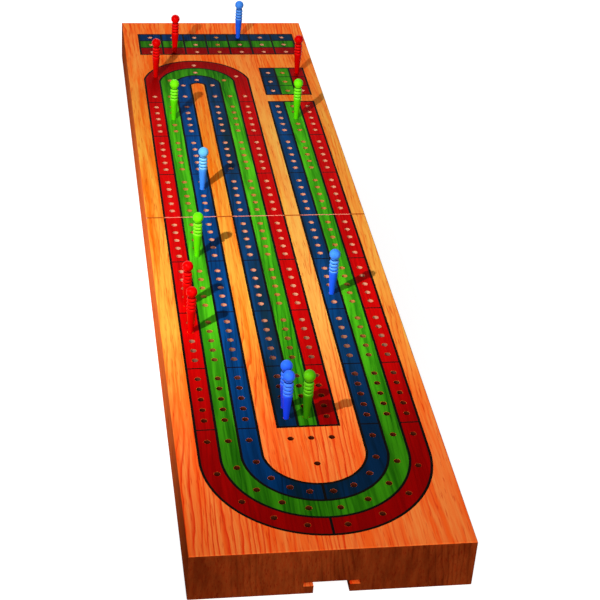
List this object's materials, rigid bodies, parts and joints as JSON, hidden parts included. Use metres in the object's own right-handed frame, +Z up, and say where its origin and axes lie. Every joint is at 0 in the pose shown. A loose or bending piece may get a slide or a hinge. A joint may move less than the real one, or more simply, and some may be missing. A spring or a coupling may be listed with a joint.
{
  "type": "cribbage board with peg drawer",
  "caption": "Wooden continuous three-track cribbage board with loose turned pegs and a flat T-section peg drawer that slides in a slot under one end.",
  "frame": {"origin": "centre of the board's underside", "axes": "+X to the right across the board, +Y along the board away from the drawer's mouth, +Z up out of the playing face"},
  "size_m": [0.097, 0.423, 0.04],
  "materials": {
    "board_wood": "oiled, satin, with painted lanes",
    "drawer_plastic": "moulded, matt dark brown",
    "red_plastic": "moulded, semi-gloss",
    "blue_plastic": "moulded, semi-gloss",
    "green_plastic": "moulded, semi-gloss"
  },
  "bodies": {
    "board": {"board": "board_wood"},
    "drawer": {"peg_drawer": "drawer_plastic"},
    "red_peg_1": {"red_peg_1": "red_plastic"},
    "red_peg_2": {"red_peg_2": "red_plastic"},
    "red_peg_3": {"red_peg_3": "red_plastic"},
    "red_peg_4": {"red_peg_4": "red_plastic"},
    "red_peg_5": {"red_peg_5": "red_plastic"},
    "blue_peg_1": {"blue_peg_1": "blue_plastic"},
    "blue_peg_2": {"blue_peg_2": "blue_plastic"},
    "blue_peg_3": {"blue_peg_3": "blue_plastic"},
    "blue_peg_4": {"blue_peg_4": "blue_plastic"},
    "blue_peg_5": {"blue_peg_5": "blue_plastic"},
    "green_peg_1": {"green_peg_1": "green_plastic"},
    "green_peg_2": {"green_peg_2": "green_plastic"},
    "green_peg_3": {"green_peg_3": "green_plastic"},
    "green_peg_4": {"green_peg_4": "green_plastic"}
  },
  "joints": [
    {"name": "drawer_slide", "type": "slide", "parent": "board", "child": "drawer", "axis": [0, -1, 0], "range_m": [0, 0.242]},
    {"name": "red_peg_1_lift", "type": "slide", "parent": "board", "child": "red_peg_1", "axis": [0, 0, 1], "range_m": [0, 0.012]},
    {"name": "red_peg_2_lift", "type": "slide", "parent": "board", "child": "red_peg_2", "axis": [0, 0, 1], "range_m": [0, 0.012]},
    {"name": "red_peg_3_lift", "type": "slide", "parent": "board", "child": "red_peg_3", "axis": [0, 0, 1], "range_m": [0, 0.012]},
    {"name": "red_peg_4_lift", "type": "slide", "parent": "board", "child": "red_peg_4", "axis": [0, 0, 1], "range_m": [0, 0.012]},
    {"name": "red_peg_5_lift", "type": "slide", "parent": "board", "child": "red_peg_5", "axis": [0, 0, 1], "range_m": [0, 0.012]},
    {"name": "blue_peg_1_lift", "type": "slide", "parent": "board", "child": "blue_peg_1", "axis": [0, 0, 1], "range_m": [0, 0.012]},
    {"name": "blue_peg_2_lift", "type": "slide", "parent": "board", "child": "blue_peg_2", "axis": [0, 0, 1], "range_m": [0, 0.012]},
    {"name": "blue_peg_3_lift", "type": "slide", "parent": "board", "child": "blue_peg_3", "axis": [0, 0, 1], "range_m": [0, 0.012]},
    {"name": "blue_peg_4_lift", "type": "slide", "parent": "board", "child": "blue_peg_4", "axis": [0, 0, 1], "range_m": [0, 0.012]},
    {"name": "blue_peg_5_lift", "type": "slide", "parent": "board", "child": "blue_peg_5", "axis": [0, 0, 1], "range_m": [0, 0.012]},
    {"name": "green_peg_1_lift", "type": "slide", "parent": "board", "child": "green_peg_1", "axis": [0, 0, 1], "range_m": [0, 0.012]},
    {"name": "green_peg_2_lift", "type": "slide", "parent": "board", "child": "green_peg_2", "axis": [0, 0, 1], "range_m": [0, 0.012]},
    {"name": "green_peg_3_lift", "type": "slide", "parent": "board", "child": "green_peg_3", "axis": [0, 0, 1], "range_m": [0, 0.012]},
    {"name": "green_peg_4_lift", "type": "slide", "parent": "board", "child": "green_peg_4", "axis": [0, 0, 1], "range_m": [0, 0.012]}
  ]
}
